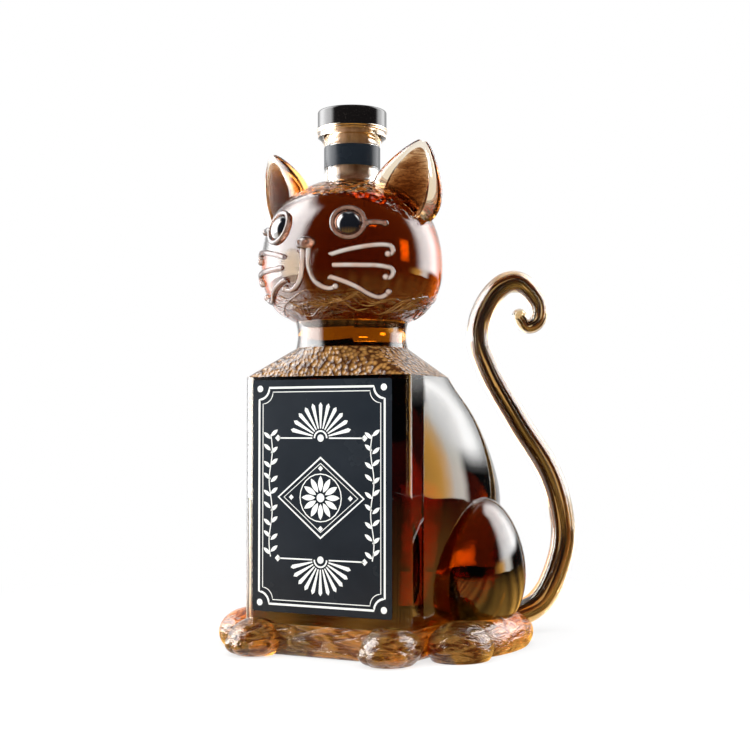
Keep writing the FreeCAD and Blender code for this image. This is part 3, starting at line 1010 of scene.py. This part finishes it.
# %% [markdown]
# ## Strands in the tail
# The tail is a cane: an amber rod with dark and copper threads in it, cased in clear glass and pulled long
# and thin. A striped texture could stand for the threads, but thin rods catch the light as real ones do. They
# wind slowly about the tail's own centre line, which is a smooth curve through a few points.

# %% Tail curve
tail_root = Vector((20, 70, 0))
tail_turn = math.radians(40)
tail_way = Vector((math.cos(tail_turn), math.sin(tail_turn), 0))
tail_reach = 55
tail_height = 173
tail_shares = [
    (0.50, 0.046),
    (0.78, 0.090),
    (0.96, 0.205),
    (0.99, 0.310),
    (0.87, 0.450),
    (0.56, 0.605),
    (0.30, 0.745),
    (0.20, 0.850),
    (0.32, 0.955),
    (0.55, 1.000),
    (0.75, 0.950),
    (0.77, 0.895),
    (0.67, 0.872),
    (0.59, 0.902),
]
span_steps = 14


def smooth_line(points, steps):
    """Points on a smooth curve through the given points."""
    line = []
    for i in range(1, len(points) - 2):
        before, here, after, beyond = points[i - 1 : i + 3]
        for step in range(steps):
            t = step / steps
            pull = (after - before) * t + (before * 2 - here * 5 + after * 4 - beyond) * t**2
            line.append(here + (pull + (here * 3 - before - after * 3 + beyond) * t**3) / 2)
    return line


centre_points = [tail_root + tail_way * (tail_reach * r) + UP * (tail_height * h) for r, h in tail_shares]
before_root = centre_points[0] * 2 - centre_points[1]
after_tip = centre_points[-1] * 2 - centre_points[-2]
centre_line = smooth_line([before_root, *centre_points, after_tip], span_steps)
print("points on the tail's centre line:", len(centre_line))

# %% [markdown]
# The threads stand evenly round the centre line, inside the amber rod, and get thinner with it. Each one is a
# row of small rings that keep to one direction across the tail, so that the rod doesn't twist.

# %% Tail strands
strand_count = 6
strand_twist = 0.45
strand_steps = 8
core_radius = 4.1
core_end_radius = 1.9
strand_out_share = 0.62
strand_share = 0.2
copper_every = 3


def way_at(points, i):
    """The direction of a line of points at one of them."""
    return (points[min(i + 1, len(points) - 1)] - points[max(i - 1, 0)]).normalized()


def tube(points, radii, across):
    """Corners and faces of a round rod along points that run nowhere along the direction across."""
    rings = []
    for i, point in enumerate(points):
        along = way_at(points, i)
        side = across - along * across.dot(along)
        side.normalize()
        over = along.cross(side)
        ring = []
        for step in range(strand_steps):
            turn = 2 * math.pi * step / strand_steps
            ring.append(point + (side * math.cos(turn) + over * math.sin(turn)) * radii[i])
        rings.append(ring)
    return skin(rings)


plane_normal = tail_way.cross(UP)
copper_look = new_look("copper_strand", Base_Color=(0.5, 0.19, 0.06, 1), Roughness=0.2)[0]
dark_look = new_look("dark_strand", Base_Color=(0.09, 0.032, 0.014, 1), Roughness=0.15)[0]
for strand in range(strand_count):
    points = []
    radii = []
    for i, centre in enumerate(centre_line):
        t = i / (len(centre_line) - 1)
        inward = way_at(centre_line, i).cross(plane_normal)
        core = core_radius + (core_end_radius - core_radius) * t**3
        turn = 2 * math.pi * (strand / strand_count + strand_twist * t)
        outward = plane_normal * math.cos(turn) + inward * math.sin(turn)
        points.append(centre + outward * core * strand_out_share)
        radii.append(core * strand_share)
    rod = link_mesh("tail_strand_%d" % strand, *tube(points, radii, plane_normal))
    rod.data.shade_smooth()
    rod.data.materials.append(dark_look if strand % copper_every else copper_look)
    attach(rod, "bottle")
print("tail strands:", strand_count, "of", len(centre_line), "rings")

# %% [markdown]
# ## Strands on the chin
# Where the head was drawn down to the collar, the hot glass was pulled into fine golden strands. Each one is
# a thin rod that lies half sunk in the chin. Where it starts, how far it runs and how it bends come from the
# strand's number and the golden ratio, which spreads them evenly without chance or a clear pattern.

# %% Chin strands
chin_strand_count = 70
chin_strand_steps = 36
chin_strand_radius = 0.5
chin_strand_end_share = 0.35
chin_strand_swing = 1.5
chin_strand_low, chin_strand_high = 150.4, 159.0
sweep_least, sweep_more = 14, 34
bends_least, bends_more = 0.6, 0.9
golden_share = 0.618034


def spread(number, seed):
    """A share between 0 and 1 that jumps about evenly as the number grows."""
    return (number * golden_share + seed) % 1


def chin_point(turn, z):
    radius = head_radius * full_curve((head_centre - z) / head_chin_height)
    return Vector((radius * math.sin(turn), -radius * math.cos(turn), z))


chin_corners = []
chin_faces = []
chin_span = chin_strand_high - chin_strand_low
for strand in range(chin_strand_count):
    first = 2 * math.pi * spread(strand, 0)
    sweep = math.radians(sweep_least + sweep_more * spread(strand * 3, 0.2))
    bends = bends_least + bends_more * spread(strand * 4, 0.1)
    start_z = chin_strand_low + chin_span * spread(strand * 5, 0.4)
    end_z = chin_strand_low + chin_span * spread(strand * 7, 0.7)
    points = []
    radii = []
    for step in range(chin_strand_steps + 1):
        t = step / chin_strand_steps
        swing = chin_strand_swing * math.sin(2 * math.pi * (bends * t + spread(strand, 0.3)))
        z = start_z + (end_z - start_z) * smooth_step(0, 1, t) + swing
        points.append(chin_point(first + sweep * t, z))
        thickness = chin_strand_end_share + (1 - chin_strand_end_share) * math.sin(math.pi * t)
        radii.append(chin_strand_radius * thickness)
    corners, faces = tube(points, radii, UP)
    offset = len(chin_corners)
    chin_corners += corners
    chin_faces += [[offset + corner for corner in face] for face in faces]
chin_strands = link_mesh("chin_strands", chin_corners, chin_faces)
chin_strands.data.shade_smooth()
chin_strands.data.materials.append(strand_glass)
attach(chin_strands, "bottle")
print("chin strands:", chin_strand_count)

# %% [markdown]
# ## Eyes
# The eyes are drops of black glass. They need no paint: a smooth black dome shows the tall soft light as a
# bright crescent, and that is what gives the cat its look.

# %% Eyes
eye_look, tree, shader = new_look("black_glass", Base_Color=(0.006, 0.007, 0.01, 1), IOR=1.6, Coat_Weight=1)
add_smears(tree, shader, 0.02, 0.06)
dress(both("eye_bead"), eye_look)
print("eyes dressed")

# %% [markdown]
# ## Label and neck band
# The label is a thin printed film on the flask's flat front. The film itself is nearly black with a slight
# blue, and a fine grain breaks up its reflections. A picture could be painted on it with nodes, but real foil
# stands on the film, so the ornament is cut from thin pale foil in code: frames with scooped corners, a
# rosette in a lozenge, fans, leaf sprigs and plain rules.

# %% Label film
film_patches = 38
grain_depth = 0.02

film_look, tree, shader = new_look("label_film", Specular_IOR_Level=0.12)
tone = add_noise(tree, film_patches, detail=4)
film_colour = add_ramp(tree, tone, (0.005, 0.008, 0.012), (0.016, 0.021, 0.028))
set_inputs(tree, shader, Base_Color=film_colour)
add_smears(tree, shader, 0.22, 0.3)
add_bump(tree, shader, add_group(tree, grain), grain_depth)
dress(["front_label", "neck_band"], film_look)
print("film dressed")

# %% [markdown]
# The foil is drawn flat, in the label's own width and height, as outlines that are given a thickness later.
# Two small helpers are enough: one makes a band along a line of points, the other fills an outline. The rest
# give outlines to fill.

# %% Foil drawing tools
label_low, label_high = (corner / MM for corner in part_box("front_label"))
leaf_steps = 6
leaf_fullness = 0.8
foil_shapes = []


def band(points, width, closed=False):
    """A strip of foil along a line."""
    count = len(points)
    sides = []
    for i, (x, y) in enumerate(points):
        before = points[i - 1] if i or closed else points[i]
        after = points[(i + 1) % count] if closed or i + 1 < count else points[i]
        along = (Vector(after) - Vector(before)).normalized()
        shift = Vector((-along.y, along.x)) * width / 2
        sides.append(((x + shift.x, y + shift.y), (x - shift.x, y - shift.y)))
    following = sides[1:] + sides[:1] if closed else sides[1:]
    for (a, b), (c, d) in zip(sides, following):
        foil_shapes.append([a, b, d, c])


def fill(points):
    foil_shapes.append(points)


def arc_points(x, y, radius, first, last, steps):
    turns = [math.radians(first + (last - first) * step / steps) for step in range(steps + 1)]
    return [(x + radius * math.cos(turn), y + radius * math.sin(turn)) for turn in turns]


def disc(x, y, radius, steps=12):
    return arc_points(x, y, radius, 0, 360 - 360 / steps, steps - 1)


def lozenge(x, y, half_width, half_height):
    return [(x + half_width, y), (x, y + half_height), (x - half_width, y), (x, y - half_height)]


def leaf(x, y, length, width, angle):
    """A pointed leaf from its stalk."""
    cos, sin = math.cos(math.radians(angle)), math.sin(math.radians(angle))
    out_and_back = [(step, 1) for step in range(leaf_steps)]
    out_and_back += [(step, -1) for step in range(leaf_steps, 0, -1)]
    outline = []
    for step, side in out_and_back:
        t = step / leaf_steps
        along = t * length
        out = side * width / 2 * math.sin(math.pi * t) ** leaf_fullness
        outline.append((x + along * cos - out * sin, y + along * sin + out * cos))
    return outline


print("label face:", [round(v, 1) for v in (label_high - label_low)])

# %% [markdown]
# The design is built from the outside in: two frames with a stud in each scooped corner, sprigs up the sides,
# and fans with plain rules at top and bottom. Everything is mirrored left and right.

# %% Foil frames, sprigs and fans
frame_half, frame_rise = 31.6, 47.8
frame_width, inner_frame_width = 0.9, 0.35
frame_gap = 1.9
scoop = 5.2
scoop_steps = 8
stud_inset, stud_radius = 0.4, 1.5
sprig_x, sprig_half = 25.6, 27
sprig_sway, sprig_waves, sprig_steps, sprig_width = 0.8, 2, 24, 0.45
sprig_leaves, sprig_pitch, sprig_first = 9, 6.4, -26
leaf_length, leaf_width, leaf_lean, leaf_offset = 4.6, 1.7, 52, 1.2
fan_rays = 11
fan_first, fan_span = 14, 152
fan_places = ((25.5, 1), (-27.5, -1))
ray_half = math.radians(3.6)
ray_start, ray_end, ray_tip = 4.2, 14.4, 15.6
hub_radius, hub_width, hub_arc, hub_steps = 1.6, 0.7, 3.1, 18
rule_start, rule_end, rule_width = 4.2, 21.5, 0.6
rule_drop_x, rule_drop_half = 21.8, 1.5


def scooped_frame(half, rise, radius, width):
    points = []
    for x, y, first in ((1, 1, 270), (-1, 1, 360), (-1, -1, 90), (1, -1, 180)):
        points += arc_points(x * half, y * rise, radius, first, first - 90, scoop_steps)
    band(points, width, closed=True)


scooped_frame(frame_half, frame_rise, scoop, frame_width)
scooped_frame(frame_half - frame_gap, frame_rise - frame_gap, scoop, inner_frame_width)
for x in (-1, 1):
    for y in (-1, 1):
        fill(disc(x * (frame_half - stud_inset), y * (frame_rise - stud_inset), stud_radius))

for side in (-1, 1):
    stem = []
    for step in range(sprig_steps + 1):
        t = step / sprig_steps
        x = sprig_x + sprig_sway * math.sin(t * 2 * sprig_waves * math.pi)
        stem.append((side * x, sprig_half * (2 * t - 1)))
    band(stem, sprig_width)
    for i in range(sprig_leaves):
        y = sprig_first + i * sprig_pitch
        lean = -leaf_lean if i % 2 else leaf_lean
        fill(leaf(side * sprig_x, y, leaf_length, leaf_width, 90 + lean))
        fill(leaf(side * sprig_x, y + leaf_offset, leaf_length, leaf_width, 90 - lean))

for y, up in fan_places:
    for i in range(fan_rays):
        turn = math.radians(fan_first + fan_span * i / (fan_rays - 1))
        low, high = turn - ray_half, turn + ray_half
        ray = [(ray_start, low), (ray_end, low), (ray_tip, turn), (ray_end, high), (ray_start, high)]
        fill([(r * math.cos(a), y + up * r * math.sin(a)) for r, a in ray])
    band(arc_points(0, y, hub_arc, 0, 180 * up, hub_steps), hub_width)
    fill(disc(0, y, hub_radius))
    for side in (-1, 1):
        band([(side * rule_start, y), (side * rule_end, y)], rule_width)
        fill(lozenge(side * rule_drop_x, y, rule_drop_half, rule_drop_half))
print("foil shapes so far:", len(foil_shapes))

# %% [markdown]
# The middle is a rosette in a ring and a double lozenge, with a drop in each of its corners. All outlines
# then become thin plates that stand on the film. Each is turned the same way round first, so that every plate
# has its front to the front.

# %% Foil rosette and plates
rosette_y = -0.5
lozenge_half, lozenge_rise, lozenge_width = 21.5, 17.5, 0.9
inner_half, inner_rise, inner_width = 18.6, 15.0, 0.4
petals, petal_start, petal_length, petal_width = 12, 2.6, 7.0, 2.5
heart_radius, ring_line_radius, ring_line_width = 1.9, 10.4, 0.45
rosette_steps = 24
drop_share, drop_half = 0.62, 1.2
drop_places = ((24.0, 0), (-24.0, 0), (0, 20.6), (0, -21.6))
foil_thickness, foil_sink = 0.06, 0.01

band(lozenge(0, rosette_y, lozenge_half, lozenge_rise), lozenge_width, closed=True)
band(lozenge(0, rosette_y, inner_half, inner_rise), inner_width, closed=True)
for i in range(petals):
    angle = 360 * i / petals
    turn = math.radians(angle)
    x, y = petal_start * math.cos(turn), rosette_y + petal_start * math.sin(turn)
    fill(leaf(x, y, petal_length, petal_width, angle))
fill(disc(0, rosette_y, heart_radius, rosette_steps))
band(disc(0, rosette_y, ring_line_radius, rosette_steps), ring_line_width, closed=True)
for x, y in drop_places:
    fill(lozenge(x * drop_share, rosette_y + y * drop_share, drop_half, drop_half))

foil_corners = []
foil_faces = []
label_middle = (label_low.z + label_high.z) / 2
for shape in foil_shapes:
    count = len(shape)
    first = len(foil_corners)
    area = sum(a[0] * b[1] - b[0] * a[1] for a, b in zip(shape, shape[1:] + shape[:1]))
    outline = shape if area > 0 else shape[::-1]
    for plane in (label_low.y - foil_thickness, label_low.y + foil_sink):
        foil_corners += [(x, plane, label_middle + y) for x, y in outline]
    foil_faces.append([first + i for i in range(count)])
    foil_faces.append([first + count + i for i in reversed(range(count))])
    for i in range(count):
        after = (i + 1) % count
        foil_faces.append([first + after, first + i, first + count + i, first + count + after])
foil = link_mesh("label_foil", foil_corners, foil_faces)
foil_look, tree, shader = new_look("label_foil_cream", Base_Color=(0.82, 0.83, 0.8, 1))
add_smears(tree, shader, 0.32, 0.5)
foil.data.materials.append(foil_look)
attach(foil, "bottle")
print("foil shapes:", len(foil_shapes))

# %% [markdown]
# ## Stopper
# The stopper is a cork under a black lacquered cap, with a pale metal ring between cap and lip. The ring is
# spun metal with two beads, so it replaces the plain CAD ring by a turned profile of the same size.

# %% Ring
ring_low, ring_high = (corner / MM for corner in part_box("trim_ring"))
ring_radius = ring_high.x
ring_bore = 9.2
ring_steps = 128
bead_steps = 10
ring_sharp = math.radians(40)
ring_patches = 240


def turned_piece(name, profile, steps):
    """A closed body turned about the spout's axis from radius and height pairs."""
    corners = [point for radius, z in profile for point in circle_points(radius, z, steps)]
    count = len(profile)
    faces = []
    for row in range(count):
        here = row * steps
        above = (row + 1) % count * steps
        for step in range(steps):
            beside = (step + 1) % steps
            faces.append((here + step, here + beside, above + beside, above + step))
    piece = link_mesh(name, corners, faces)
    piece.data.shade_smooth()
    piece.data.set_sharp_from_angle(angle=ring_sharp)
    return piece


bead_radius = (ring_high.z - ring_low.z) / 4
profile = [(ring_bore, ring_low.z)]
for bead in (1, 3):
    for step in range(bead_steps + 1):
        turn = math.pi * (step / bead_steps - 0.5)
        height = ring_low.z + bead * bead_radius + bead_radius * math.sin(turn)
        profile.append((ring_radius - bead_radius + bead_radius * math.cos(turn), height))
profile.append((ring_bore, ring_high.z))
ring = turned_piece("beaded_ring", profile, ring_steps)
ring_look, tree, shader = new_look("pale_brass", Metallic=1)
brass = add_ramp(tree, add_noise(tree, ring_patches), (0.72, 0.58, 0.42), (0.9, 0.8, 0.66))
set_inputs(tree, shader, Base_Color=brass)
add_smears(tree, shader, 0.16, 0.32)
ring.data.materials.append(ring_look)
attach(ring, "trim")
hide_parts("trim_ring")
print("ring radius:", round(ring_radius, 2))

# %% [markdown]
# The cap's lacquer is a dark base under a thin clear coat. Dust-fine specks lift it a little, so that it
# doesn't look like a hole in the picture, and smears soften its reflections.

# %% Cap
dust_specks = 1500

cap_look, tree, shader = new_look("cap_lacquer", Specular_IOR_Level=0.2)
set_inputs(tree, shader, Coat_Weight=0.25, Coat_Roughness=0.06)
dust = add_noise(tree, dust_specks)
lacquer = add_ramp(tree, dust, (0.006, 0.005, 0.005), (0.03, 0.025, 0.022), 0.62, 0.74)
set_inputs(tree, shader, Base_Color=lacquer)
add_smears(tree, shader, 0.12, 0.22)
dress(["stopper_cap"], cap_look)
print("cap dressed")

# %% [markdown]
# Cork is pale brown with darker streaks. Noise that is stretched along the cork gives the streaks, and
# presses them into the surface a little. The hidden peg takes the same look.

# %% Cork
cork_streaks = 260
cork_stretch = (1, 1, 0.35)
cork_depth = 0.25

cork_look, tree, shader = new_look("cork_bark", Roughness=0.85)
streak = add_noise(tree, cork_streaks, detail=6, stretch=cork_stretch)
bark = add_ramp(tree, streak, (0.5, 0.29, 0.17), (0.84, 0.62, 0.45), 0.3, 0.62)
set_inputs(tree, shader, Base_Color=bark)
add_bump(tree, shader, streak, cork_depth)
dress(["cork_shank", "cap_dowel"], cork_look)
print("cork dressed")

# %% [markdown]
# ## Finish
# Light passes many surfaces on its way through glass and liquor, and each one counts as a bounce. Too few of
# them would turn the thick parts black.

# %% Finish
glass_bounces = 40
mirror_bounces = 12

scene.cycles.max_bounces = glass_bounces
scene.cycles.transmission_bounces = glass_bounces
scene.cycles.glossy_bounces = mirror_bounces
scene.cycles.use_denoising = True
